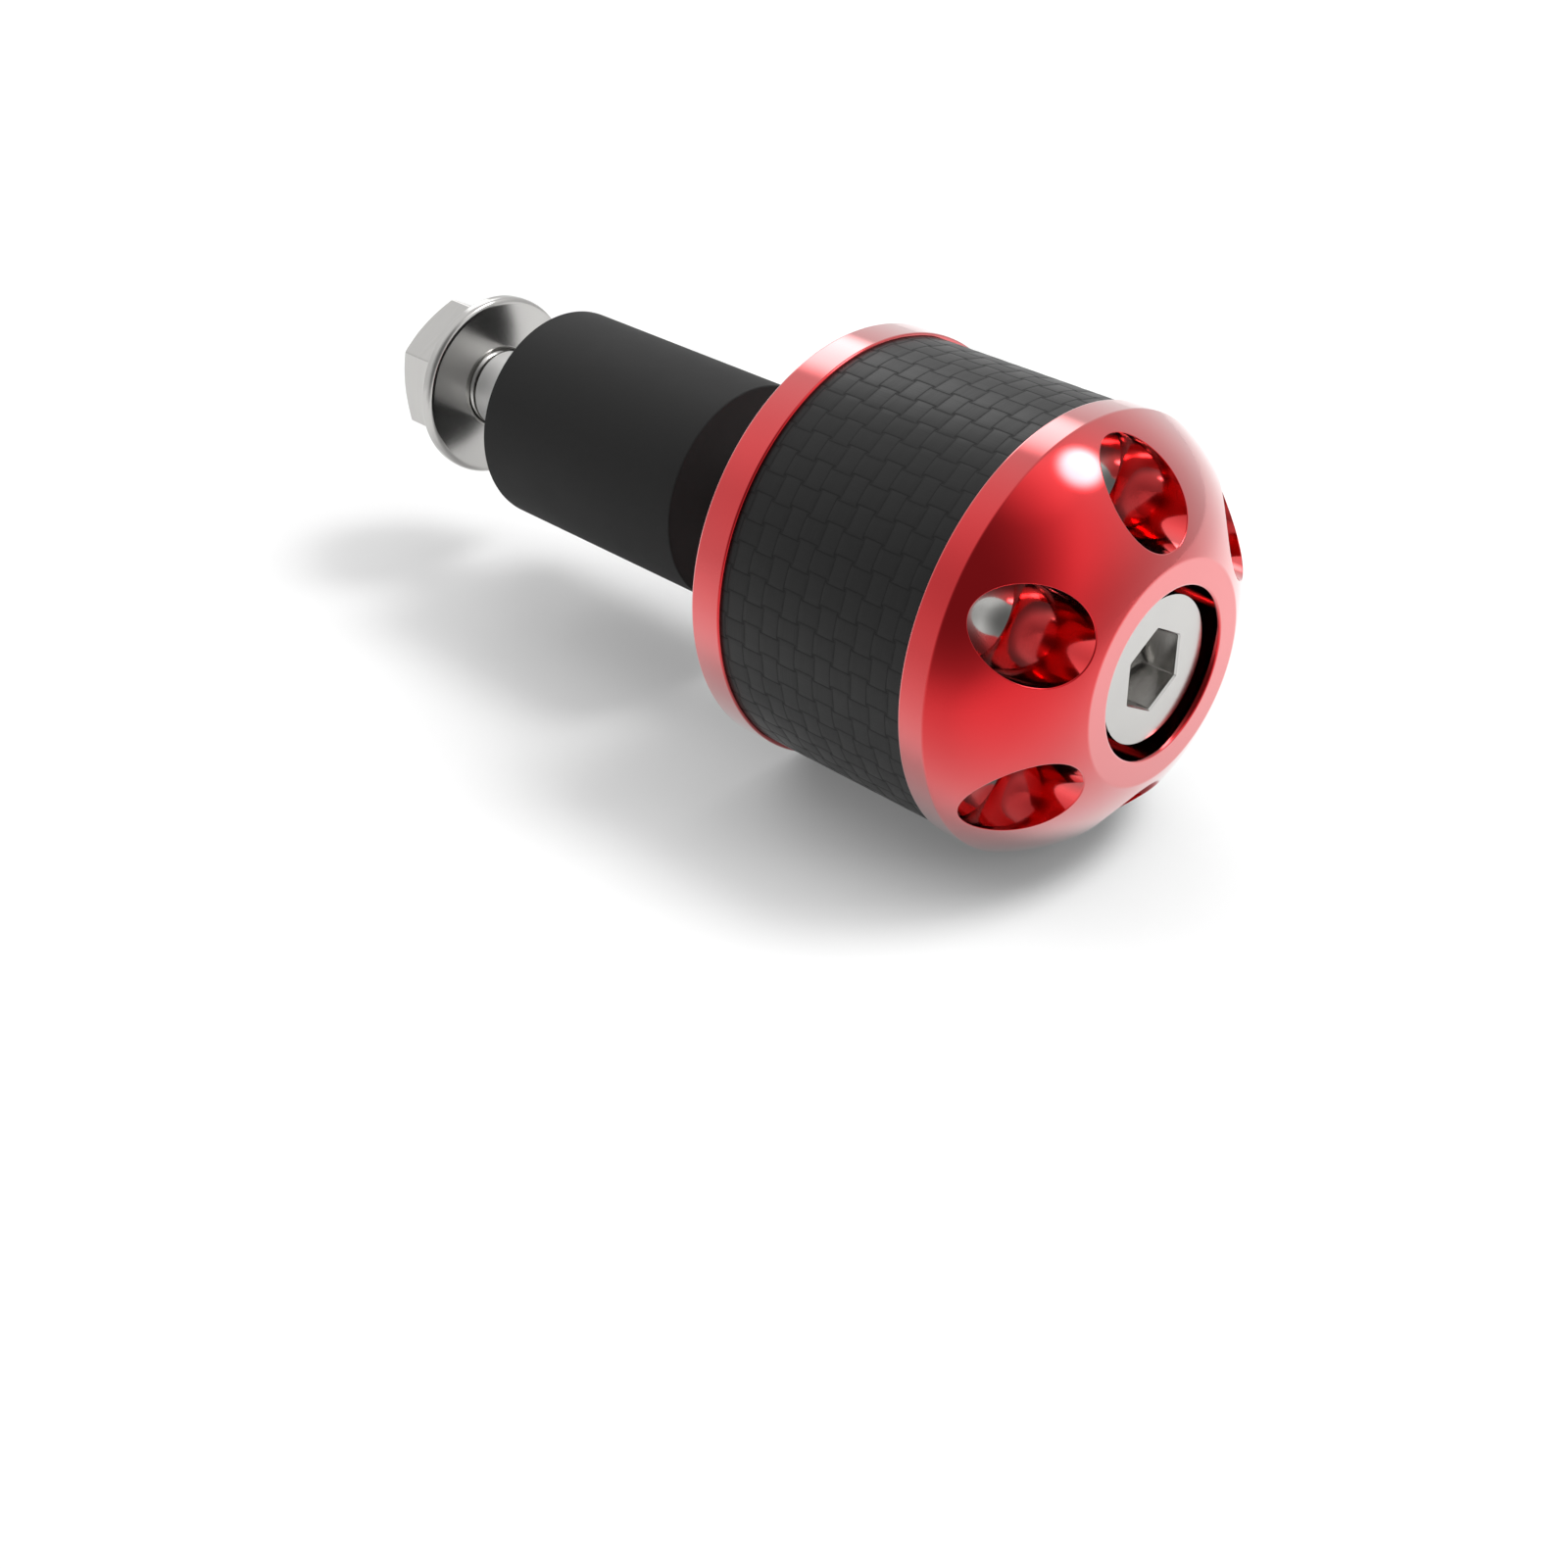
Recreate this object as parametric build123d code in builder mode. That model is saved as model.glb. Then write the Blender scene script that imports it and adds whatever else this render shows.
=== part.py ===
"""Motorbike bar end weight: a red nose cap with a ring of ports, a carbon sleeve and a rear collar,
drawn on to a rubber expander plug by one long cap screw and a flange nut.

The axis of the weight is X, with the nose towards +X. The origin is on the axis at the middle of the
rubber plug, which is what the bore of the handlebar holds. Millimetres, +Z up.
"""
import os
from math import cos, radians, sqrt, tan

from build123d import *

os.makedirs("parts", exist_ok=True)

# Body: collar, sleeve, front rim and dome, one behind the other along the axis
body_radius = 15.0
collar_length = 2.5
sleeve_length = 15.4
rim_length = 2.0
dome_length = 6.8
dome_bulge = 1.0
nose_flat_radius = 7.6
edge_break = 0.12

# Carbon sleeve on the core of the nose cap
sleeve_step = 0.25
sleeve_wall = 1.5
bond_gap = 0.05

# Stub of the core that the rear collar is pressed on
stub_radius = 9.0
stub_setback = 0.3
press_gap = 0.02

# Ring of ports, sunk parallel to the axis down to the foot of the dome, with dished floors
port_count = 6
port_radius = 3.0
port_dish_depth = 1.8
port_circle_radius = 11.4
port_first_angle = 90.0

# Cap screw, 6 mm thread, with a hexagon socket
screw_radius = 3.0
screw_stand_out = 2.2
screw_tip_chamfer = 0.7
head_radius = 5.0
head_height = 6.0
head_edge_round = 0.25
socket_width = 5.0
socket_depth = 3.0
socket_point_angle = 120.0
counterbore_gap = 0.83
screw_hole_gap = 0.3

# Rubber expander plug, a push fit on the screw
plug_radius = 8.0
plug_length = 20.0
plug_space = 9.5
plug_bore_gap = 0.05
plug_edge_break = 0.3

# Flange nut, run a little way on to the screw
nut_space = 7.6
nut_width = 10.0
nut_height = 5.8
nut_bore_gap = 0.05
nut_bore_chamfer = 0.4
nut_end_angle = 30.0
nut_end_land = 0.94
flange_radius = 7.0
flange_edge = 1.0
flange_round = 0.4
flange_slope = 25.0

# Stations along the axis
plug_front = plug_length / 2
plug_back = -plug_length / 2
collar_back = plug_front + plug_space
sleeve_start = collar_back + collar_length
sleeve_end = sleeve_start + sleeve_length
dome_start = sleeve_end + rim_length
nose_face = dome_start + dome_length
nut_face = plug_back - nut_space
nut_end = nut_face - nut_height
screw_seat = dome_start
screw_tip = nut_end - screw_stand_out

# Radii that follow from the fits
sleeve_outer_radius = body_radius - sleeve_step
sleeve_inner_radius = sleeve_outer_radius - sleeve_wall
core_radius = sleeve_inner_radius - bond_gap
counterbore_radius = head_radius + counterbore_gap
screw_hole_radius = screw_radius + screw_hole_gap

# Half-section plane of the turned pieces: its first axis runs along the weight, its second outwards
section = Plane.XZ

# Hollow of one port on its own axis: a straight wall over a dished floor
port_bottom = dome_start - port_dish_depth
with BuildPart() as port:
    with BuildSketch(section):
        with BuildLine():
            TangentArc((0, port_bottom), (port_radius, dome_start), tangent=(1, 0))
            Polyline((port_radius, dome_start), (port_radius, nose_face), (0, nose_face), (0, port_bottom))
        make_face()
    revolve(axis=Axis.Z)

# Nose cap: dome, front rim, core and stub turned as one piece
dome_chord = sqrt(dome_length**2 + (body_radius - nose_flat_radius) ** 2)
dome_middle = (
    (dome_start + nose_face) / 2 + dome_bulge * (body_radius - nose_flat_radius) / dome_chord,
    (body_radius + nose_flat_radius) / 2 + dome_bulge * dome_length / dome_chord,
)
with BuildPart() as nose_cap:
    with BuildSketch(section):
        with BuildLine():
            Polyline(
                (nose_face, 0),
                (collar_back + stub_setback, 0),
                (collar_back + stub_setback, stub_radius),
                (sleeve_start, stub_radius),
                (sleeve_start, core_radius),
                (sleeve_end, core_radius),
                (sleeve_end, body_radius),
                (dome_start, body_radius),
            )
            ThreePointArc((dome_start, body_radius), dome_middle, (nose_face, nose_flat_radius))
            Line((nose_face, nose_flat_radius), (nose_face, 0))
        make_face()
    revolve(axis=Axis.X)
    with Locations(Plane.YZ.offset(nose_face)):
        CounterBoreHole(screw_hole_radius, counterbore_radius, nose_face - screw_seat)
    rim_edges = nose_cap.edges().filter_by(GeomType.CIRCLE).sort_by(SortBy.RADIUS)[-2:]
    nose_edges = nose_cap.edges().filter_by(GeomType.CIRCLE).group_by(Axis.X)[-1]
    chamfer(rim_edges + nose_edges, edge_break)
    with Locations(Plane.YZ):
        with PolarLocations(port_circle_radius, port_count, start_angle=port_first_angle):
            add(port.part, mode=Mode.SUBTRACT)
nose_cap.part.label = "nose_cap"
export_step(nose_cap.part, "parts/nose_cap.step")

# Carbon sleeve between the front rim and the rear collar
with BuildPart() as carbon_sleeve:
    with BuildSketch(Plane.YZ.offset(sleeve_start)):
        Circle(sleeve_outer_radius)
        Circle(sleeve_inner_radius, mode=Mode.SUBTRACT)
    extrude(amount=sleeve_length)
carbon_sleeve.part.label = "carbon_sleeve"
export_step(carbon_sleeve.part, "parts/carbon_sleeve.step")

# Rear collar, pressed on the stub behind the sleeve
with BuildPart() as rear_collar:
    with BuildSketch(Plane.YZ.offset(collar_back)):
        Circle(body_radius)
        Circle(stub_radius + press_gap, mode=Mode.SUBTRACT)
    extrude(amount=collar_length)
    outer_edges = rear_collar.edges().filter_by(GeomType.CIRCLE).sort_by(SortBy.RADIUS)[-2:]
    chamfer(outer_edges, edge_break)
rear_collar.part.label = "rear_collar"
export_step(rear_collar.part, "parts/rear_collar.step")

# Rubber expander plug
with BuildPart() as rubber_plug:
    with BuildSketch(Plane.YZ.offset(plug_back)):
        Circle(plug_radius)
        Circle(screw_radius + plug_bore_gap, mode=Mode.SUBTRACT)
    extrude(amount=plug_length)
    outer_edges = rubber_plug.edges().filter_by(GeomType.CIRCLE).sort_by(SortBy.RADIUS)[-2:]
    chamfer(outer_edges, plug_edge_break)
rubber_plug.part.label = "rubber_plug"
export_step(rubber_plug.part, "parts/rubber_plug.step")

# Cap screw: shank, cylindrical head and hexagon socket with a drill point at its bottom
socket_corner_radius = socket_width / 2 / cos(radians(30))
head_face = screw_seat + head_height
socket_floor = head_face - socket_depth
point_depth = socket_width / 2 / tan(radians(socket_point_angle / 2))
with BuildPart() as clamp_screw:
    with BuildSketch(section):
        with BuildLine():
            Polyline(
                (screw_tip, 0),
                (screw_tip, screw_radius - screw_tip_chamfer),
                (screw_tip + screw_tip_chamfer, screw_radius),
                (screw_seat, screw_radius),
                (screw_seat, head_radius),
                (head_face, head_radius),
                (head_face, 0),
                close=True,
            )
        make_face()
    revolve(axis=Axis.X)
    fillet(clamp_screw.edges().filter_by(GeomType.CIRCLE).sort_by(Axis.X)[-1], head_edge_round)
    with BuildSketch(Plane.YZ.offset(socket_floor)):
        RegularPolygon(socket_corner_radius, 6, rotation=30)
    extrude(amount=socket_depth, mode=Mode.SUBTRACT)
    with BuildSketch(section):
        with BuildLine():
            Polyline(
                (socket_floor - point_depth, 0),
                (socket_floor, socket_width / 2),
                (socket_floor, 0),
                close=True,
            )
        make_face()
    revolve(axis=Axis.X, mode=Mode.SUBTRACT)
clamp_screw.part.label = "clamp_screw"
export_step(clamp_screw.part, "parts/clamp_screw.step")

# Flange nut: round flange towards the plug, chamfered hexagon towards the tail
nut_corner_radius = nut_width / 2 / cos(radians(30))
end_land_radius = nut_end_land * nut_width / 2
flange_back = nut_face - flange_edge
slope_run = (flange_radius - nut_width / 2) * tan(radians(flange_slope))
end_chamfer_run = (nut_corner_radius - end_land_radius) * tan(radians(nut_end_angle))
with BuildPart() as flange_nut:
    with BuildSketch(Plane.YZ.offset(nut_end)):
        RegularPolygon(nut_corner_radius, 6, rotation=30)
    extrude(amount=nut_height)
    with BuildSketch(section):
        with BuildLine():
            Polyline(
                (nut_end, 0),
                (nut_end, end_land_radius),
                (nut_end + end_chamfer_run, nut_corner_radius),
                (nut_face, nut_corner_radius),
                (nut_face, 0),
                close=True,
            )
        make_face()
    revolve(axis=Axis.X, mode=Mode.INTERSECT)
    with BuildSketch(section):
        with BuildLine():
            Polyline(
                (flange_back - slope_run, 0),
                (flange_back - slope_run, nut_width / 2),
                (flange_back, flange_radius),
                (nut_face, flange_radius),
                (nut_face, 0),
                close=True,
            )
        make_face()
    revolve(axis=Axis.X)
    fillet(flange_nut.edges().filter_by(GeomType.CIRCLE).sort_by(Axis.X)[-1], flange_round)
    with Locations(Plane.YZ.offset(nut_face)):
        Hole(screw_radius + nut_bore_gap)
    bore_edges = flange_nut.edges().filter_by(GeomType.CIRCLE).sort_by(SortBy.RADIUS)[:2]
    chamfer(bore_edges, nut_bore_chamfer)
flange_nut.part.label = "flange_nut"
export_step(flange_nut.part, "parts/flange_nut.step")
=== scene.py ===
"""Looks of a motorbike handlebar end weight: red anodised nose and collar, woven carbon sleeve,
rubber expander plug, cap screw and flange nut.

Sizes are millimetres along the weight's axis X, with the nose towards +X and +Z up. Angles round the
axis are measured from +Z towards +Y. Meshes are written in metres.
"""
from math import asin, cos, hypot, pi, radians, sin, tan

import bpy
import numpy as np
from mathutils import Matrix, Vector


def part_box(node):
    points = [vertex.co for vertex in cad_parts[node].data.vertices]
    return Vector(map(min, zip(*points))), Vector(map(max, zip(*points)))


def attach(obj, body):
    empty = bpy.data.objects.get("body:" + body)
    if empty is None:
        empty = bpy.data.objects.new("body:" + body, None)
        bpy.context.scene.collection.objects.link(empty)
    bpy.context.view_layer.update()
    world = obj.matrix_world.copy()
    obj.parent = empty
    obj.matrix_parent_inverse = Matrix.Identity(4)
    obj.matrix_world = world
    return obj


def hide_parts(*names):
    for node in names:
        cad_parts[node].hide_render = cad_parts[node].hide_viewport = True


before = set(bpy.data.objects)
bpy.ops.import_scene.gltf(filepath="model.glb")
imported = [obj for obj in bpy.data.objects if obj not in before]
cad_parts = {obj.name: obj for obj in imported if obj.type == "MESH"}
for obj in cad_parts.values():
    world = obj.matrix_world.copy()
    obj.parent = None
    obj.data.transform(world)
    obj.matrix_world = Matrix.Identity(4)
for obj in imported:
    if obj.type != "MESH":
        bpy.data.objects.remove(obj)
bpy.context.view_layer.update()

MM = 0.001


def span(node):
    """First and last station of a node along the axis, and its largest radius."""
    low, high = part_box(node)
    return low.x / MM, high.x / MM, round(max(high.y, high.z) / MM, 2)


# Stations along the axis and outer radii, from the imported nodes
stub_back, nose_face, body_radius = span("nose_cap")
sleeve_start, sleeve_end, sleeve_radius = span("carbon_sleeve")
collar_back, collar_front, collar_radius = span("rear_collar")
plug_back, plug_front, plug_radius = span("rubber_plug")
screw_tip, head_face, head_radius = span("clamp_screw")
nut_end, nut_face, flange_radius = span("flange_nut")

# Nose: dome, ports, counterbore, and the core and stub behind them
dome_length = 6.8
dome_bulge = 1.0
nose_flat_radius = 7.6
crease_round = 0.1
edge_round = 0.16
port_count = 6
port_radius = 3.0
port_dish_depth = 1.8
port_circle_radius = 11.4
port_mouth_round = 0.07
counterbore_radius = 5.83
screw_hole_radius = 3.3
stub_radius = 9.0
sleeve_wall = 1.5
bond_gap = 0.05
press_gap = 0.02

# Carbon sleeve: plain weave of flat tows, whose seams step from cell to cell and run straight at the ends
cells_round = 56
cell_length = 1.53
first_weave_line = 0.48
weave_angle = radians(-2.7)
weave_margin = 0.02
tow_wave = 0.014
tow_spread = 0.075
tow_step_sharpness = 6
tow_edge_drop = 0.04
tow_edge_sharpness = 18
seam_sharpness = 16
seam_fade = 1.0
seam_passes = 2
filament_height = 0.02

# Screw, plug and nut
head_height = 6.0
head_round = 0.3
socket_width = 5.0
socket_depth = 3.0
socket_point_angle = radians(120)
socket_corner_round = 0.12
socket_lead = 0.12
socket_drill_radius = 2.45
screw_radius = 3.0
tip_chamfer = 0.7
thread_pitch = 1.0
thread_depth = 0.613
thread_flat = 0.14
thread_core_share = 0.7
thread_length = 8.6
bore_gap = 0.05
plug_round = 0.14
plug_bore_round = plug_round / 3
rubber_grain_height = 0.02
nut_width = 10.0
nut_corner_round = 0.25
nut_end_land = 0.94
nut_end_angle = radians(30)
nut_bore_round = 0.2
flange_edge = 1.0
flange_slope = radians(25)
flange_round = 0.45
flange_back_round = flange_round / 3

# Sizes that follow from those above
dome_start = nose_face - dome_length
screw_seat = head_face - head_height
thread_end = screw_tip + thread_length
weave_start = sleeve_start + first_weave_line
sleeve_bore_radius = sleeve_radius - sleeve_wall
core_radius = sleeve_bore_radius - bond_gap

# Colours: a darker and a lighter shade of each finish, and single colours
red_dye = ((0.60, 0.019, 0.024, 1), (0.66, 0.022, 0.028, 1))
# Port walls: the same red made brighter, painted light for the light lost in the ports' inner reflections
brightened_port_colours = ((0.84, 0.045, 0.05, 1), (0.90, 0.05, 0.056, 1))
# Pale colour painted onto the red parts as a sheen where they turn away from the view
painted_sheen_colour = (0.95, 0.93, 0.93, 1)
# The carbon's darker colour also serves as painted shade in the seams between tows
carbon_black = ((0.004, 0.004, 0.004, 1), (0.0115, 0.0115, 0.0115, 1))
rubber_black = ((0.011, 0.011, 0.011, 1), (0.015, 0.015, 0.015, 1))
steel_grey = ((0.48, 0.472, 0.46, 1), (0.53, 0.522, 0.508, 1))
satin_grey = (0.80, 0.795, 0.785, 1)
aluminium_grey = ((0.37, 0.367, 0.354, 1), (0.41, 0.406, 0.392, 1))
floor_white = (0.68, 0.68, 0.68, 1)
white = (1, 1, 1, 1)

# Camera: where it stands, and the point of the floor in the middle of its picture
camera_place = (113.98, -103.76, 71.71)
camera_aim = (21.96, -8.89, -body_radius)
camera_lens = 52.22

# Floor: it fades out in one direction, given in degrees round from +X towards +Y
floor_radius = 1500.0
floor_fade = (0.03, 0.40)
floor_fade_side = -63
floor_glow = 0.14

# Lamps: width in millimetres, power in watts
tail_lamp = {"place": (-362.0, -132.0, 460.0), "aim": (0.0, 0.0, 0.0), "width": 450.0, "power": 0.8}
nose_lamp = {"place": (90.0, 35.0, 95.0), "aim": (70.0, 20.0, -15.0), "width": 60.0, "power": 0.06}

# Surroundings: an even light, and patches of light or shade. A patch has a strength, degrees round and
# up to its middle, and the degrees from there within which it is full and beyond which it is gone.
even_light = 0.85
ceiling_light = (0.35, 20, 55, 5, 50)
ceiling_middle = (0.27, 10, 75, 8, 25)
tail_side_light = (0.15, -163, 48, 10, 35)
nose_side_shade = (0.12, 45, 6, 25, 50)
camera_side_shade = (0.72, -68, 36, 12, 63)
main_lamp = (8.0, 50, 58, 5, 13)
main_lamp_middle = (8.0, 50, 58, 4, 11)
far_lamp = (2.4, 143.5, 37, 5, 17)
far_low_light = (0.35, 117, -45, 15, 45)
near_low_light = (0.26, -30, -28, 10, 35)

# Mesh resolution; mesh lines stand close together at the seams of a weave cell, which is 1 long
columns_per_port = 72
port_side_columns = 30
dome_rows = 14
dish_rows = 12
round_steps = 5
thread_rows_per_turn = 10
tip_rings = 8
weave_cell_lines = (0.0, 0.018, 0.04, 0.08, 0.3, 0.7, 0.92, 0.96, 0.982)
body_columns = columns_per_port * port_count
mesh_decimals = 5
mesh_tolerance = 0.001
merge_distance = 0.0002
shortest_normal = 1e-9


# Outlines and meshes


def bend(start, corner, end, steps=round_steps):
    """Points of a smooth bend from start to end that leaves and arrives along the lines to the corner."""
    start, corner, end = (np.asarray(point, float) for point in (start, corner, end))
    share = np.linspace(0, 1, steps + 1).reshape((-1,) + (1,) * start.ndim)
    return (1 - share) ** 2 * start + 2 * share * (1 - share) * corner + share**2 * end


def stretches(corners):
    """Straight and bent stretches of an outline through corners (station, radius, round)."""
    points = [np.array(corner[:2], float) for corner in corners]
    runs = []
    start = points[0]
    for before, corner, after, spec in zip(points, points[1:], points[2:], corners[1:]):
        reach = spec[2]
        if not reach:
            runs.append(np.array([start, corner]))
            start = corner
            continue
        arrive = corner + (before - corner) / np.linalg.norm(before - corner) * reach
        leave = corner + (after - corner) / np.linalg.norm(after - corner) * reach
        runs.append(np.array([start, arrive]))
        runs.append(bend(arrive, corner, leave))
        start = leave
    runs.append(np.array([start, points[-1]]))
    return runs


def turned(runs, angles):
    """Grids of points that each stretch sweeps when it is turned about the axis."""
    grids = []
    for run in runs:
        station = np.repeat(run[:, :1], len(angles), axis=1)
        grids.append(rings(station, run[:, 1:], angles))
    return grids


def rings(station, radius, angles):
    """Grid of points from stations and radii, one row a ring and one column an angle."""
    station, radius = np.broadcast_arrays(station, radius * np.ones_like(angles))
    return np.stack([station, radius * np.sin(angles), radius * np.cos(angles)], axis=2)


def ruled(first, last, angles, rows=1):
    """Grid of points in straight lines from one ring to another, each given by its station and radius."""
    ones = np.ones_like(angles)
    share = np.linspace(0, 1, rows + 1)[:, None]
    station = first[0] * (1 - share) * ones + last[0] * share * ones
    radius = first[1] * (1 - share) * ones + last[1] * share * ones
    return rings(station, radius, angles)


def true_normals(grid):
    """Unit normals of a grid whose columns go right round; none where the grid closes to a point."""
    along = np.gradient(grid, axis=0)
    around = np.roll(grid, -1, axis=1) - np.roll(grid, 1, axis=1)
    normal = np.cross(along, around)
    length = np.linalg.norm(normal, axis=2, keepdims=True)
    return np.divide(normal, length, out=np.zeros_like(normal), where=length > shortest_normal)


def skin(name, grids, plain=(), exact=None, marks=None):
    """Object with one closed mesh from grids of points.

    The grids numbered in plain get no true normals, those in exact come with theirs, and marks names
    grids whose faces have a finish of their own.
    """
    points = np.concatenate([grid.reshape(-1, 3) for grid in grids])
    normals = [true_normals(grid) * (number not in plain) for number, grid in enumerate(grids)]
    for number, given in (exact or {}).items():
        normals[number] = given
    normals = np.concatenate([normal.reshape(-1, 3) for normal in normals])
    places, joined = np.unique(np.round(points, mesh_decimals), axis=0, return_inverse=True)
    joined = joined.ravel()
    faces = []
    facing = []
    grid_of_face = []
    start = 0
    for number, grid in enumerate(grids):
        here = start + np.arange(grid.shape[0] * grid.shape[1]).reshape(grid.shape[:2])
        there = np.roll(here, -1, axis=1)
        quads = np.stack([here[:-1], here[1:], there[1:], there[:-1]], axis=2).reshape(-1, 4)
        for quad in quads:
            corners = dict(zip(joined[quad], quad))
            if len(corners) > 2:
                faces.append(list(corners))
                facing.extend(normals[list(corners.values())])
                grid_of_face.append(number)
        start += here.size
    mesh = bpy.data.meshes.new(name)
    mesh.from_pydata(places * MM, [], faces)
    layer = mesh.attributes.new("facing", "FLOAT_VECTOR", "CORNER")
    layer.data.foreach_set("vector", np.array(facing, np.float32).ravel())
    for mark, marked in (marks or {}).items():
        layer = mesh.attributes.new(mark, "BOOLEAN", "FACE")
        layer.data.foreach_set("value", np.isin(grid_of_face, marked))
    mesh.shade_smooth()
    piece = bpy.data.objects.new(name, mesh)
    bpy.context.scene.collection.objects.link(piece)
    return piece


def settle_normals(piece):
    """Gives a piece's corners the true normals that its mesh carries."""
    mesh = piece.data
    layer = mesh.attributes["facing"]
    normals = np.zeros(len(mesh.loops) * 3, np.float32)
    layer.data.foreach_get("vector", normals)
    mesh.attributes.remove(layer)
    mesh.normals_split_custom_set(normals.reshape(-1, 3).tolist())


def hexagon(width, corner_round, side_steps=9, corner_steps=3):
    """Angles and radii of a hexagon with rounded corners, one corner straight up."""
    angles = []
    radii = []
    inner = (width / 2 - corner_round) / cos(pi / 6)
    for corner in range(6):
        middle = corner * pi / 3
        for lean in np.linspace(-pi / 6, pi / 6, corner_steps):
            outward = inner + corner_round * cos(lean)
            aside = corner_round * sin(lean)
            angles.append(middle + np.arctan2(aside, outward))
            radii.append(hypot(aside, outward))
        last = angles[-1]
        first = 2 * middle + pi / 3 - last
        for step in range(1, side_steps + 1):
            angle = last + (first - last) * step / (side_steps + 1)
            angles.append(angle)
            radii.append(width / 2 / cos(angle - middle - pi / 6))
    return np.array(angles), np.array(radii)


# Node trees


class Value:
    """A socket of a node tree; arithmetic on it adds Math nodes to that tree."""

    def __init__(self, nodes, socket):
        self.nodes = nodes
        self.socket = socket

    def maths(self, operation, *others):
        return self.nodes.maths(operation, self, *others)

    def __add__(self, other):
        return self.maths("ADD", other)

    def __sub__(self, other):
        return self.maths("SUBTRACT", other)

    def __rsub__(self, other):
        return self.nodes.maths("SUBTRACT", other, self)

    def __mul__(self, other):
        return self.maths("MULTIPLY", other)

    def __truediv__(self, other):
        return self.maths("DIVIDE", other)

    def __pow__(self, other):
        return self.maths("POWER", other)

    def __gt__(self, other):
        return self.maths("GREATER_THAN", other)

    __radd__ = __add__
    __rmul__ = __mul__


class Nodes:
    """Adds nodes to one tree, shader or geometry."""

    def __init__(self, tree):
        self.tree = tree

    def add(self, kind, settings=None, sockets=None, out=0):
        """A new node with its settings, then its sockets' values or links; gives one of its outputs."""
        node = self.tree.nodes.new(kind)
        for setting, value in (settings or {}).items():
            setattr(node, setting, value)
        for socket, value in (sockets or {}).items():
            self.feed(node, socket, value)
        return Value(self, node.outputs[out])

    def feed(self, node, socket, value):
        """Links a socket of a node, or sets its value."""
        if isinstance(value, Value):
            self.tree.links.new(value.socket, node.inputs[socket])
        else:
            node.inputs[socket].default_value = value

    def maths(self, operation, *values):
        """A Math node on values or plain numbers."""
        return self.add("ShaderNodeMath", {"operation": operation}, dict(enumerate(values)))

    def parts(self, vector):
        """The three numbers of a vector."""
        first = self.add("ShaderNodeSeparateXYZ", sockets={0: vector})
        return [Value(self, socket) for socket in first.socket.node.outputs]

    def mix(self, share, first, second):
        """A colour between two colours."""
        return self.add("ShaderNodeMix", {"data_type": "RGBA"}, {0: share, 6: first, 7: second}, out=2)

    def between(self, value, low, high):
        """Smooth step from 0 at low to 1 at high."""
        sockets = {"Value": value, "From Min": low, "From Max": high}
        return self.add("ShaderNodeMapRange", {"interpolation_type": "SMOOTHSTEP"}, sockets)


def new_tree(name, inputs):
    """A geometry tree with its inputs by name; inputs lists (name, socket type)."""
    tree = bpy.data.node_groups.new(name, "GeometryNodeTree")
    for label, kind in [("Geometry", "NodeSocketGeometry"), *inputs]:
        tree.interface.new_socket(label, in_out="INPUT", socket_type=kind)
    tree.interface.new_socket("Geometry", in_out="OUTPUT", socket_type="NodeSocketGeometry")
    nodes = Nodes(tree)
    entry = tree.nodes.new("NodeGroupInput")
    given = {socket.name: Value(nodes, socket) for socket in entry.outputs if socket.name}
    return nodes, given


def close_tree(nodes, shape, material, marked=None):
    """Ends a geometry tree with real geometry and its material, and other materials on marked faces."""
    shape = nodes.add("GeometryNodeRealizeInstances", sockets={"Geometry": shape})
    shape = nodes.add("GeometryNodeSetMaterial", sockets={"Geometry": shape, "Material": material})
    for mark, other in (marked or {}).items():
        faces = nodes.add("GeometryNodeInputNamedAttribute", {"data_type": "BOOLEAN"}, {"Name": mark})
        sockets = {"Geometry": shape, "Selection": faces, "Material": other}
        shape = nodes.add("GeometryNodeSetMaterial", sockets=sockets)
    nodes.feed(nodes.tree.nodes.new("NodeGroupOutput"), "Geometry", shape)
    return nodes.tree


def run_tree(piece, tree, values):
    """Runs a geometry tree on a piece and keeps the result as the piece's plain mesh."""
    modifier = piece.modifiers.new(tree.name, "NODES")
    modifier.node_group = tree
    for item in tree.interface.items_tree:
        if item.in_out == "INPUT" and item.name in values:
            modifier[item.identifier] = values[item.name]
    graph = bpy.context.evaluated_depsgraph_get()
    shape = piece.evaluated_get(graph)
    mesh = bpy.data.meshes.new_from_object(shape, preserve_all_data_layers=True, depsgraph=graph)
    piece.modifiers.remove(modifier)
    piece.data = mesh


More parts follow.
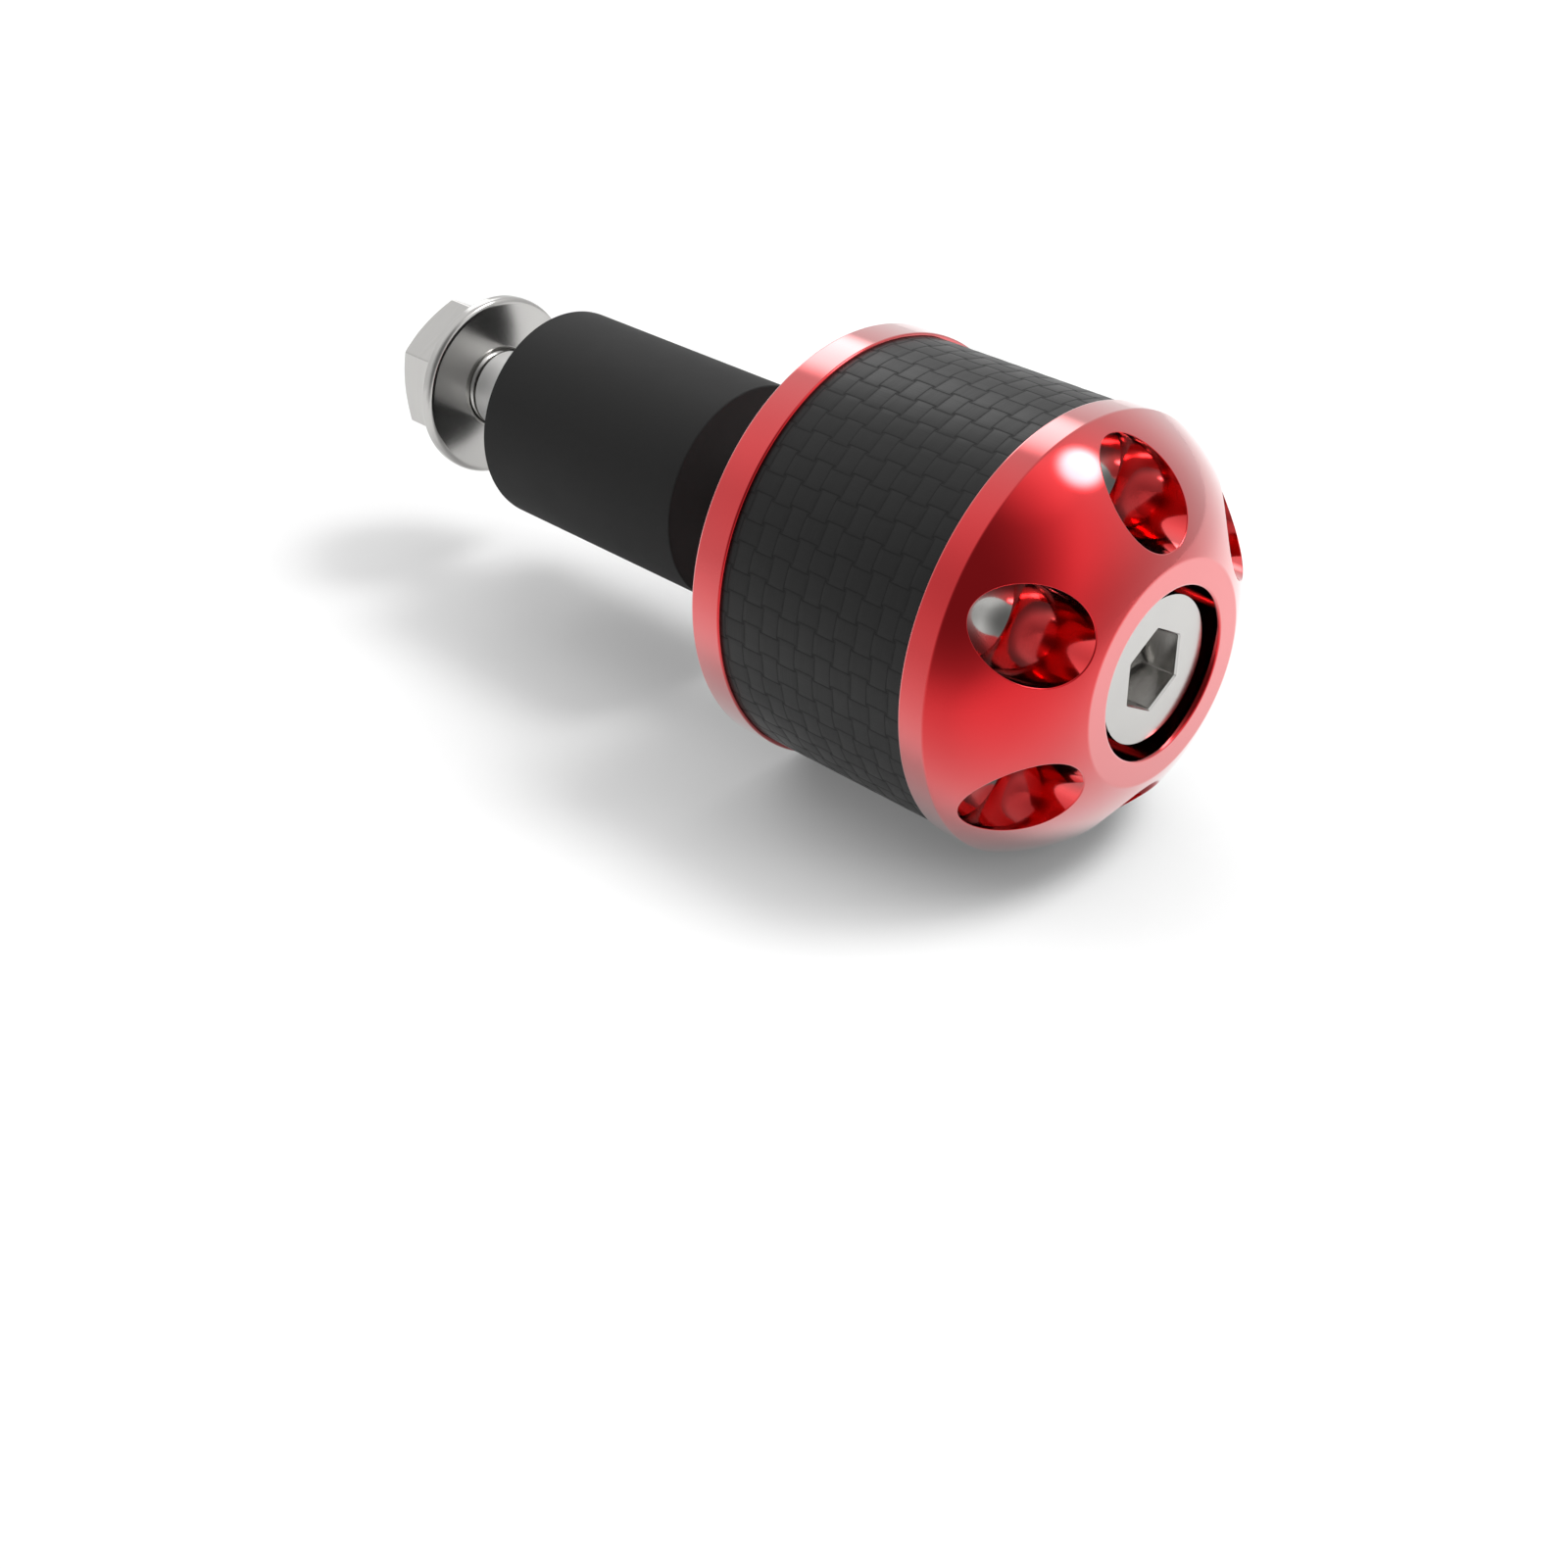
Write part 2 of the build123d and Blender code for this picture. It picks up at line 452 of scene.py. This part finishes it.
def ring_of_ports():
    """Tree: sets one port's share of the dome round the axis and joins it to the rest of the nose."""
    inputs = [
        ("Port", "NodeSocketObject"),
        ("Ports", "NodeSocketInt"),
        ("Seam", "NodeSocketFloat"),
        ("Material", "NodeSocketMaterial"),
        ("Brightened Wall Material", "NodeSocketMaterial"),
        ("Dish Material", "NodeSocketMaterial"),
    ]
    nodes, given = new_tree("ring of ports", inputs)
    turn = nodes.add("GeometryNodeInputIndex") * (2 * pi) / given["Ports"]
    share = nodes.add("GeometryNodeObjectInfo", sockets={"Object": given["Port"]}, out="Geometry")
    places = nodes.add("GeometryNodePoints", sockets={"Count": given["Ports"]})
    places = nodes.add(
        "GeometryNodeStoreNamedAttribute",
        {"data_type": "FLOAT", "domain": "POINT"},
        {"Geometry": places, "Name": "turn", "Value": turn},
    )
    rotation = nodes.add("ShaderNodeCombineXYZ", sockets={"X": turn})
    ring = nodes.add(
        "GeometryNodeInstanceOnPoints", sockets={"Points": places, "Instance": share, "Rotation": rotation}
    )
    ring = nodes.add("GeometryNodeRealizeInstances", sockets={"Geometry": ring})
    turn = nodes.add("GeometryNodeInputNamedAttribute", {"data_type": "FLOAT"}, {"Name": "turn"})
    facing = nodes.add("GeometryNodeInputNamedAttribute", {"data_type": "FLOAT_VECTOR"}, {"Name": "facing"})
    facing = nodes.add(
        "ShaderNodeVectorRotate", {"rotation_type": "X_AXIS"}, {"Vector": facing, "Angle": turn}
    )
    ring = nodes.add(
        "GeometryNodeStoreNamedAttribute",
        {"data_type": "FLOAT_VECTOR", "domain": "CORNER"},
        {"Geometry": ring, "Name": "facing", "Value": facing},
    )
    join = nodes.tree.nodes.new("GeometryNodeJoinGeometry")
    nodes.feed(join, "Geometry", ring)
    nodes.feed(join, "Geometry", given["Geometry"])
    shape = Value(nodes, join.outputs[0])
    shape = nodes.add("GeometryNodeMergeByDistance", sockets={"Geometry": shape, "Distance": given["Seam"]})
    # The port walls take the brighter red, painted light inside the ports
    marked = {"wall": given["Brightened Wall Material"], "dish": given["Dish Material"]}
    return close_tree(nodes, shape, given["Material"], marked)


def weave_tows(station, angle, cell, line, cells, first_angle, wave, drop):
    """Heights of the axial and the round tows of a plain weave at a place on the sleeve, and its seams.

    Where the seams step aside depends on the stepped place itself, which is found in a few passes.
    """
    straight_along = (station - line) / cell
    straight_around = (angle - first_angle) * cells / (2 * pi)
    along, around = straight_along, straight_around

    def step_aside(turns):
        step = (turns * pi).maths("SINE") * tow_step_sharpness
        return step.maths("MINIMUM", 1).maths("MAXIMUM", -1) * tow_spread

    for _ in range(seam_passes):
        along, around = (
            straight_along + (along * pi).maths("COSINE") * step_aside(around),
            straight_around - (around * pi).maths("COSINE") * step_aside(along),
        )
    count = along.maths("FLOOR") + around.maths("FLOOR")
    over = count.maths("FLOORED_MODULO", 2) * 2 - 1
    along = along.maths("FRACT")
    around = around.maths("FRACT")
    side = (around * 2 - 1).maths("ABSOLUTE")
    end = (along * 2 - 1).maths("ABSOLUTE")
    axial = over * (along * pi).maths("SINE") * wave - side**tow_edge_sharpness * drop
    hoop = over * (around * pi).maths("SINE") * wave * -1 - end**tow_edge_sharpness * drop
    return axial, hoop, side.maths("MAXIMUM", end) ** seam_sharpness


def carbon_weave():
    """Tree: presses a plain weave into the outer wall of the sleeve."""
    numbers = ("Radius", "Cell Length", "First Line", "Cells Round", "First Angle", "Wave", "Edge Drop")
    inputs = [(label, "NodeSocketFloat") for label in numbers]
    nodes, given = new_tree("carbon weave", [*inputs, ("Material", "NodeSocketMaterial")])
    place = nodes.add("GeometryNodeInputPosition")
    station, across, upward = nodes.parts(place)
    angle = across.maths("ARCTAN2", upward)
    radius = (across * across + upward * upward) ** 0.5
    axial, hoop, _ = weave_tows(station, angle, *(given[label] for label in numbers[1:]))
    sink = axial.maths("MAXIMUM", hoop) - given["Wave"]
    outward = nodes.add("ShaderNodeCombineXYZ", sockets={"Y": across / radius, "Z": upward / radius})
    offset = nodes.add("ShaderNodeVectorMath", {"operation": "SCALE"}, {0: outward, "Scale": sink})
    wall = radius > given["Radius"] - mesh_tolerance * MM
    shape = nodes.add(
        "GeometryNodeSetPosition",
        sockets={"Geometry": given["Geometry"], "Selection": wall, "Offset": offset},
    )
    return close_tree(nodes, shape, given["Material"])


def screw_thread():
    """Tree: cuts a thread into a shank from its tip to where the thread runs out."""
    numbers = ("Radius", "Tip", "Run Out", "Pitch", "Depth")
    inputs = [(label, "NodeSocketFloat") for label in numbers]
    nodes, given = new_tree("screw thread", [*inputs, ("Material", "NodeSocketMaterial")])
    place = nodes.add("GeometryNodeInputPosition")
    station, across, upward = nodes.parts(place)
    radius = (across * across + upward * upward) ** 0.5
    turns = station / given["Pitch"] + across.maths("ARCTAN2", upward) / (2 * pi)
    flank = (turns.maths("FRACT") * 2 - 1).maths("ABSOLUTE")
    limits = {"From Min": thread_flat, "From Max": 1 - thread_flat, "To Min": 1.0, "To Max": 0.0}
    cut = nodes.add("ShaderNodeMapRange", sockets={"Value": flank, **limits})
    ends = nodes.between(given["Run Out"] - station, 0.0, given["Pitch"])
    root = given["Radius"] - cut * ends * given["Depth"]
    outward = nodes.add("ShaderNodeCombineXYZ", sockets={"Y": across / radius, "Z": upward / radius})
    sink = root.maths("MINIMUM", radius) - radius
    offset = nodes.add("ShaderNodeVectorMath", {"operation": "SCALE"}, {0: outward, "Scale": sink})
    threaded = (given["Run Out"] > station) * (station > given["Tip"] + mesh_tolerance * MM)
    threaded = threaded * (radius > given["Radius"] * thread_core_share)
    shape = nodes.add(
        "GeometryNodeSetPosition",
        sockets={"Geometry": given["Geometry"], "Selection": threaded, "Offset": offset},
    )
    return close_tree(nodes, shape, given["Material"])


# Finishes


def finish(name, **constants):
    """A material with its node adder and its surface shader; constants are sockets with _ for spaces."""
    material = bpy.data.materials.new(name)
    material.use_nodes = True
    surface = material.node_tree.nodes["Principled BSDF"]
    for socket, value in constants.items():
        surface.inputs[socket.replace("_", " ")].default_value = value
    return material, Nodes(material.node_tree), surface


def object_place(nodes):
    """The place on a piece, in its own coordinates."""
    return nodes.add("ShaderNodeTexCoord", out="Object")


def grain(nodes, scale, detail=2.0, stretch=(1.0, 1.0, 1.0)):
    """Noise from 0 to 1 on the piece's own coordinates, with scale in features per metre."""
    place = object_place(nodes)
    place = nodes.add("ShaderNodeVectorMath", {"operation": "MULTIPLY"}, {0: place, 1: stretch})
    return nodes.add("ShaderNodeTexNoise", sockets={"Vector": place, "Scale": scale, "Detail": detail})


def red_anodised(name, shades):
    """Polished dyed aluminium: deep red face on, with a pale sheen painted into its colour where it turns
    away.
    """
    material, nodes, surface = finish(name, Metallic=1.0)
    sheen_weight = 0.88
    sheen_sharpness = 1.9
    turned_away = nodes.add("ShaderNodeLayerWeight", sockets={"Blend": 0.5}, out="Facing")
    sheen = turned_away**sheen_sharpness * sheen_weight
    dye = nodes.mix(grain(nodes, scale=220.0, detail=3.0), *shades)
    # Painted sheen: the base colour pales towards white where the surface turns away from the view
    nodes.feed(surface, "Base Color", nodes.mix(sheen, dye, painted_sheen_colour))
    nodes.feed(surface, "Roughness", 0.06 + 0.03 * grain(nodes, scale=900.0, detail=4.0))
    return material


def woven_carbon():
    """Satin carbon composite: flat tows with fine filaments along each of them, and painted shade along the
    seams between the tows.
    """
    material, nodes, surface = finish("woven carbon", Specular_IOR_Level=0.25)
    station, across, upward = nodes.parts(object_place(nodes))
    angle = across.maths("ARCTAN2", upward)
    cells = (cell_length * MM, weave_start * MM, cells_round, weave_angle)
    axial, hoop, seam = weave_tows(station, angle, *cells, tow_wave * MM, tow_edge_drop * MM)
    axial_top = axial > hoop
    lengthways = grain(nodes, scale=9000.0, stretch=(0.04, 1.0, 1.0))
    crossways = grain(nodes, scale=9000.0, stretch=(1.0, 0.04, 0.04))
    filament = axial_top * lengthways + (1 - axial_top) * crossways
    # Painted shade: the colour goes darkest along the seams between tows, where shade falls; elsewhere it
    # follows the filaments and the tows' direction
    shade = (1 - seam) * (0.55 + 0.35 * filament + 0.1 * axial_top)
    nodes.feed(surface, "Base Color", nodes.mix(shade, *carbon_black))
    nodes.feed(surface, "Roughness", 0.36 + 0.10 * filament - 0.04 * axial_top + 0.3 * seam)
    relief = {"Strength": 0.25, "Distance": filament_height * MM, "Height": filament}
    nodes.feed(surface, "Normal", nodes.add("ShaderNodeBump", sockets=relief))
    return material


def moulded_rubber():
    """Matt black rubber with the fine grain of its mould."""
    material, nodes, surface = finish("moulded rubber", Specular_IOR_Level=0.22)
    fine = grain(nodes, scale=5000.0, detail=3.0)
    cloud = grain(nodes, scale=300.0, detail=3.0)
    nodes.feed(surface, "Base Color", nodes.mix(cloud, *rubber_black))
    nodes.feed(surface, "Roughness", 0.62 + 0.12 * cloud)
    relief = {"Strength": 0.3, "Distance": rubber_grain_height * MM, "Height": fine}
    nodes.feed(surface, "Normal", nodes.add("ShaderNodeBump", sockets=relief))
    return material


def bright_steel():
    """Plated steel, polished, with a faint drawn grain round the axis; the screw's plain shank is satin."""
    material, nodes, surface = finish("bright steel")
    drawn = grain(nodes, scale=6000.0, stretch=(1.0, 0.06, 0.06))
    polished = nodes.mix(drawn, *steel_grey)
    station, across, upward = nodes.parts(object_place(nodes))
    outside = across * across + upward * upward > ((screw_radius + bore_gap) * MM) ** 2
    past_thread = station > thread_end * MM
    in_head = station > screw_seat * MM
    shank = (1 - outside) * past_thread * (1 - in_head)
    nodes.feed(surface, "Base Color", nodes.mix(shank, polished, satin_grey))
    nodes.feed(surface, "Metallic", 1 - 0.58 * shank)
    nodes.feed(surface, "Roughness", 0.14 + 0.06 * drawn + 0.12 * shank)
    return material


def bare_aluminium():
    """Bright cut aluminium where the dye has been taken away, with a faint cloud in it."""
    material, nodes, surface = finish("bare aluminium", Metallic=1.0)
    cloud = grain(nodes, scale=1500.0, detail=3.0)
    nodes.feed(surface, "Base Color", nodes.mix(cloud, *aluminium_grey))
    nodes.feed(surface, "Roughness", 0.08 + 0.05 * cloud)
    return material


# Pieces


def show(piece, node, material):
    """Lets a finished piece stand for its node."""
    settle_normals(piece)
    if not piece.data.materials:
        piece.data.materials.append(material)
    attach(piece, "root")
    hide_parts(node)


def round_angles(columns):
    """Even angles round the axis, with the joints between two ports' shares among them."""
    return np.arange(columns) * 2 * pi / columns - pi / port_count


class Dome:
    """The arc from the rim to the flat of the nose."""

    def __init__(self):
        rim = np.array([dome_start, body_radius])
        nose = np.array([nose_face, nose_flat_radius])
        chord = np.linalg.norm(nose - rim)
        outward = np.array([rim[1] - nose[1], nose[0] - rim[0]]) / chord
        self.radius = (chord**2 / 4 + dome_bulge**2) / (2 * dome_bulge)
        self.centre = (rim + nose) / 2 - outward * (self.radius - dome_bulge)
        rim_angle, nose_angle = (np.arctan2(*(end - self.centre)[::-1]) for end in (rim, nose))
        step = crease_round / self.radius
        self.foot = self.at(rim_angle - step)
        self.top = self.at(nose_angle + step)

    def at(self, angle):
        """Station and radius of a point of the arc."""
        return self.centre + self.radius * np.array([cos(angle), sin(angle)])

    def station(self, radius):
        """Station of the dome at a radius."""
        return self.centre[0] + np.sqrt(self.radius**2 - (radius - self.centre[1]) ** 2)

    def slope(self, radius):
        """Change of station with radius."""
        return -(radius - self.centre[1]) / (self.station(radius) - self.centre[0])

    def normals(self, points):
        """Unit normals at points of the dome."""
        radius = np.linalg.norm(points[..., 1:], axis=-1, keepdims=True)
        outward = points[..., 1:] * (1 - self.centre[1] / radius)
        return np.concatenate([points[..., :1] - self.centre[0], outward], axis=-1) / self.radius


def port_share(dome):
    """One port's share of the dome, with the port straight up: dome, mouth, wall and dished floor."""
    half = pi / port_count
    sweep = np.linspace(-half, half, columns_per_port, endpoint=False)
    climb = np.linspace(0, 1, port_side_columns, endpoint=False)
    foot, top = dome.foot[1], dome.top[1]
    angles = np.concatenate([sweep, np.full_like(climb, half), -sweep, np.full_like(climb, -half)])
    radii = np.concatenate(
        [
            np.full_like(sweep, foot),
            foot + (top - foot) * climb,
            np.full_like(sweep, top),
            top + (foot - top) * climb,
        ]
    )
    edge = np.stack([radii * np.sin(angles), radii * np.cos(angles)], axis=1)
    middle = np.array([0, port_circle_radius])
    spoke = (edge - middle) / np.linalg.norm(edge - middle, axis=1, keepdims=True)

    def on_dome(flat):
        return np.concatenate([dome.station(np.linalg.norm(flat, axis=-1))[..., None], flat], axis=-1)

    def across(reach, station):
        stations = np.broadcast_to(station, len(spoke))[:, None]
        return np.concatenate([stations, middle + reach * spoke], axis=1)

    lip = middle + (port_radius + port_mouth_round) * spoke
    rows = np.linspace(0, 1, dome_rows + 1)[:, None, None]
    around_port = on_dome(edge + (lip - edge) * rows)
    lip_radius = np.linalg.norm(lip, axis=1)
    fall = dome.slope(lip_radius) * np.sum(lip / lip_radius[:, None] * spoke, axis=1)
    corner = dome.station(lip_radius) - fall * port_mouth_round
    inside = across(port_radius, corner - port_mouth_round)
    mouth = bend(on_dome(lip), across(port_radius, corner), inside)
    wall = np.stack([inside, across(port_radius, dome_start)])
    ball = (port_radius**2 + port_dish_depth**2) / (2 * port_dish_depth)
    leans = np.linspace(asin(port_radius / ball), 0, dish_rows + 1)
    bottom = dome_start - port_dish_depth
    dish = np.stack([across(ball * sin(lean), bottom + ball * (1 - cos(lean))) for lean in leans])
    grids = [around_port, mouth, wall, dish]
    return skin("port", grids, exact={0: dome.normals(around_port)}, marks={"wall": [2], "dish": [3]})


def make_nose(material, brightened_wall_material, dish_material):
    """Red nose: rim, core, stub, counterbore and through hole, with the dome and its ring of ports."""
    dome = Dome()
    rim_corner = (dome_start, body_radius)
    nose_corner = (nose_face, nose_flat_radius)
    rear = stretches(
        [
            (stub_back, stub_radius, 0),
            (sleeve_start, stub_radius, 0),
            (sleeve_start, core_radius, 0),
            (sleeve_end, core_radius, 0),
            (sleeve_end, body_radius, edge_round),
            (dome_start - crease_round, body_radius, 0),
        ]
    )
    rear.append(bend((dome_start - crease_round, body_radius), rim_corner, dome.foot))
    front = [bend(dome.top, nose_corner, (nose_face, nose_flat_radius - crease_round))]
    front += stretches(
        [
            (nose_face, nose_flat_radius - crease_round, 0),
            (nose_face, counterbore_radius, edge_round),
            (screw_seat, counterbore_radius, 0),
            (screw_seat, screw_hole_radius, 0),
            (stub_back, screw_hole_radius, 0),
            (stub_back, stub_radius, 0),
        ]
    )
    nose = skin("turned_nose", turned(rear + front, round_angles(body_columns)))
    port = port_share(dome)
    values = {
        "Port": port,
        "Ports": port_count,
        "Seam": merge_distance * MM,
        "Material": material,
        "Brightened Wall Material": brightened_wall_material,
        "Dish Material": dish_material,
    }
    run_tree(nose, ring_of_ports(), values)
    bpy.data.objects.remove(port)
    show(nose, "nose_cap", material)


def make_sleeve(material):
    """Carbon tube with its weave in the outer wall."""
    first_cell = -1
    last_cell = int((sleeve_end - sleeve_start) / cell_length)
    cells_along = np.arange(first_cell, last_cell + 1)[:, None]
    along = (cells_along + weave_cell_lines).ravel()
    lines = weave_start + along * cell_length
    inside = (lines > sleeve_start + weave_margin) & (lines < sleeve_end - weave_margin)
    along = along[inside][:, None]
    lines = lines[inside][:, None]
    around = (np.arange(cells_round)[:, None] + weave_cell_lines).ravel()
    angles = weave_angle + around * 2 * pi / cells_round
    to_end = np.minimum(lines - sleeve_start, sleeve_end - lines)
    spread = tow_spread * np.clip(to_end / seam_fade, 0, 1)

    def step_aside(turns):
        return spread * np.clip(tow_step_sharpness * np.sin(pi * turns), -1, 1)

    stepped_along = along - np.cos(pi * along) * step_aside(around)
    stepped_around = around + np.cos(pi * around) * step_aside(along)
    end = np.ones_like(around)
    stations = np.vstack([sleeve_start * end, weave_start + stepped_along * cell_length, sleeve_end * end])
    stepped_angles = np.vstack([angles, weave_angle + stepped_around * 2 * pi / cells_round, angles])
    outer = rings(stations, sleeve_radius, stepped_angles)
    corners = [(sleeve_end, sleeve_radius), (sleeve_end, sleeve_bore_radius)]
    corners += [(sleeve_start, sleeve_bore_radius), (sleeve_start, sleeve_radius)]
    runs = [np.array(pair, float) for pair in zip(corners, corners[1:])]
    sleeve = skin("woven_sleeve", [outer, *turned(runs, angles)], plain=(0,))
    values = {
        "Radius": sleeve_radius * MM,
        "Cell Length": cell_length * MM,
        "First Line": weave_start * MM,
        "Cells Round": float(cells_round),
        "First Angle": weave_angle,
        "Wave": tow_wave * MM,
        "Edge Drop": tow_edge_drop * MM,
        "Material": material,
    }
    run_tree(sleeve, carbon_weave(), values)
    show(sleeve, "carbon_sleeve", material)


def ring_outline(back, front, bore, radius, outer_round, bore_round):
    """Closed outline of a plain ring with rounded edges, from the middle of its back face."""
    return stretches(
        [
            (back, (bore + radius) / 2, 0),
            (back, radius, outer_round),
            (front, radius, outer_round),
            (front, bore, bore_round),
            (back, bore, bore_round),
            (back, (bore + radius) / 2, 0),
        ]
    )


def make_collar(material):
    """Red ring behind the sleeve."""
    bore = stub_radius + press_gap
    outline = ring_outline(collar_back, collar_front, bore, collar_radius, edge_round, edge_round)
    collar = skin("turned_collar", turned(outline, round_angles(body_columns)))
    show(collar, "rear_collar", material)


def make_plug(material):
    """Rubber cylinder on the screw."""
    bore = screw_radius + bore_gap
    outline = ring_outline(plug_back, plug_front, bore, plug_radius, plug_round, plug_bore_round)
    plug = skin("moulded_plug", turned(outline, round_angles(body_columns // 2)))
    show(plug, "rubber_plug", material)


def make_screw(material):
    """Cap screw with a hexagon socket and a thread on the tail end of its shank."""
    angles, socket = hexagon(socket_width, socket_corner_round)
    thread = np.arange(screw_tip + tip_chamfer, thread_end, thread_pitch / thread_rows_per_turn)
    thread = np.stack([thread, np.full_like(thread, screw_radius)], axis=1)
    tip = np.array([(screw_tip, 0), (screw_tip, screw_radius - tip_chamfer)], float)
    chamfer = np.linspace(tip[1], thread[0], tip_rings)
    face_middle = (head_face, (head_radius + socket_width) / 2)
    shank_and_head = stretches(
        [
            (*thread[-1], 0),
            (screw_seat, screw_radius, 0),
            (screw_seat, head_radius, 0),
            (head_face, head_radius, head_round),
            (*face_middle, 0),
        ]
    )
    grids = turned([tip, chamfer, thread, *shank_and_head], angles)
    socket_floor = head_face - socket_depth
    socket_point = socket_floor - socket_width / 2 / tan(socket_point_angle / 2)
    inside = [
        face_middle,
        (head_face, socket + socket_lead),
        (head_face - socket_lead, socket),
        (socket_floor, socket),
        (socket_floor, socket_drill_radius),
        (socket_point, 0.0),
    ]
    grids += [ruled(first, last, angles) for first, last in zip(inside, inside[1:])]
    screw = skin("cap_screw", grids, plain=(1, 2))
    values = {
        "Radius": screw_radius * MM,
        "Tip": screw_tip * MM,
        "Run Out": thread_end * MM,
        "Pitch": thread_pitch * MM,
        "Depth": thread_depth * MM,
        "Material": material,
    }
    run_tree(screw, screw_thread(), values)
    show(screw, "clamp_screw", material)


def make_nut(material):
    """Flange nut: chamfered hexagon towards the tail, round flange towards the plug."""
    angles, flats = hexagon(nut_width, nut_corner_round, side_steps=12, corner_steps=5)
    bore = screw_radius + bore_gap
    land = nut_end_land * nut_width / 2
    flange_back = nut_face - flange_edge
    cone_end = nut_end + (flats - land) * tan(nut_end_angle)
    slope_start = flange_back - (flange_radius - flats) * tan(flange_slope)
    slope_end_radius = flange_radius - flange_round / 2
    slope_end = (flange_back - (flange_radius - slope_end_radius) * tan(flange_slope), slope_end_radius)
    rim_and_bore = stretches(
        [
            (*slope_end, 0),
            (flange_back, flange_radius, flange_back_round),
            (nut_face, flange_radius, flange_round),
            (nut_face, bore, nut_bore_round),
            (nut_end, bore, nut_bore_round),
            (nut_end, land, 0),
        ]
    )
    grids = [
        ruled((nut_end, land), (cone_end, flats), angles, rows=2),
        ruled((cone_end, flats), (slope_start, flats), angles),
        ruled((slope_start, flats), slope_end, angles, rows=2),
        *turned(rim_and_bore, angles),
    ]
    nut = skin("tail_nut", grids)
    show(nut, "flange_nut", material)


# Studio


def make_floor():
    """Plain white floor under the body, which fades into the surroundings."""
    bpy.ops.mesh.primitive_circle_add(
        vertices=128, radius=floor_radius * MM, fill_type="NGON", location=(0, 0, -body_radius * MM)
    )
    floor = bpy.context.object
    floor.name = "studio_floor"
    matt = {"Base_Color": floor_white, "Roughness": 1.0, "Specular_IOR_Level": 0.0}
    lit = {"Emission_Color": white, "Emission_Strength": floor_glow}
    material, nodes, surface = finish("studio floor", **matt, **lit)
    along, across, _ = nodes.parts(object_place(nodes))
    reach = along * cos(radians(floor_fade_side)) + across * sin(radians(floor_fade_side))
    nearness = nodes.maths("DIVIDE", body_radius * MM, reach.maths("MAXIMUM", 0.0) + body_radius * MM)
    nodes.feed(surface, "Alpha", nodes.between(nearness, *floor_fade))
    floor.data.materials.append(material)


def towards(azimuth, elevation):
    """Direction from degrees round from +X towards +Y and degrees above the floor."""
    azimuth, elevation = radians(azimuth), radians(elevation)
    return (cos(azimuth) * cos(elevation), sin(azimuth) * cos(elevation), sin(elevation))


def make_studio():
    """Soft white surroundings with two bright lamps, darker on the camera's side."""
    world = bpy.data.worlds.new("studio")
    world.use_nodes = True
    nodes = Nodes(world.node_tree)
    direction = nodes.add("ShaderNodeTexCoord", out="Generated")

    def patch(strength, azimuth, elevation, inner, outer):
        dot = {0: direction, 1: towards(azimuth, elevation)}
        closeness = nodes.add("ShaderNodeVectorMath", {"operation": "DOT_PRODUCT"}, dot, out="Value")
        return strength * nodes.between(closeness, cos(radians(outer)), cos(radians(inner)))

    room = even_light + patch(*ceiling_light) + patch(*ceiling_middle)
    room = room + patch(*tail_side_light) - patch(*nose_side_shade)
    lamps = patch(*main_lamp) + patch(*main_lamp_middle) + patch(*far_lamp)
    from_below = patch(*far_low_light) + patch(*near_low_light)
    background = world.node_tree.nodes["Background"]
    nodes.feed(background, "Color", white)
    nodes.feed(background, "Strength", room * (1 - patch(*camera_side_shade)) + lamps + from_below)
    bpy.context.scene.world = world


def soft_lamp(name, place, aim, width, power):
    """Round soft lamp that lights the floor and the dark pieces but isn't mirrored in the bright ones."""
    lamp = bpy.data.lights.new(name, "AREA")
    lamp.shape = "DISK"
    lamp.size = width * MM
    lamp.energy = power
    lit = bpy.data.objects.new(name, lamp)
    lit.location = Vector(place) * MM
    lit.rotation_euler = (Vector(aim) - Vector(place)).to_track_quat("-Z", "Y").to_euler()
    lit.visible_glossy = False
    lit.visible_camera = False
    bpy.context.scene.collection.objects.link(lit)


def place_camera():
    """Camera in front of the nose, to one side of it and above it."""
    lens = bpy.data.cameras.new("camera")
    lens.lens = camera_lens
    lens.sensor_width = 36.0
    lens.clip_start = 0.005
    camera = bpy.data.objects.new("camera", lens)
    camera.location = Vector(camera_place) * MM
    aim = Vector(camera_aim) * MM - camera.location
    camera.rotation_euler = aim.to_track_quat("-Z", "Y").to_euler()
    bpy.context.scene.collection.objects.link(camera)
    bpy.context.scene.camera = camera


red = red_anodised("red anodised", red_dye)
# Brighter copy of the red for the port walls: painted light inside the ports
brightened_port_finish = red_anodised("red anodised port painted brighter", brightened_port_colours)
steel = bright_steel()
make_nose(red, brightened_port_finish, bare_aluminium())
make_collar(red)
make_sleeve(woven_carbon())
make_plug(moulded_rubber())
make_screw(steel)
make_nut(steel)
make_floor()
make_studio()
soft_lamp("tail_lamp", **tail_lamp)
soft_lamp("nose_lamp", **nose_lamp)
place_camera()
bpy.context.scene.view_settings.view_transform = "Standard"
bpy.context.scene.cycles.caustics_reflective = False
bpy.context.scene.cycles.glossy_bounces = 5
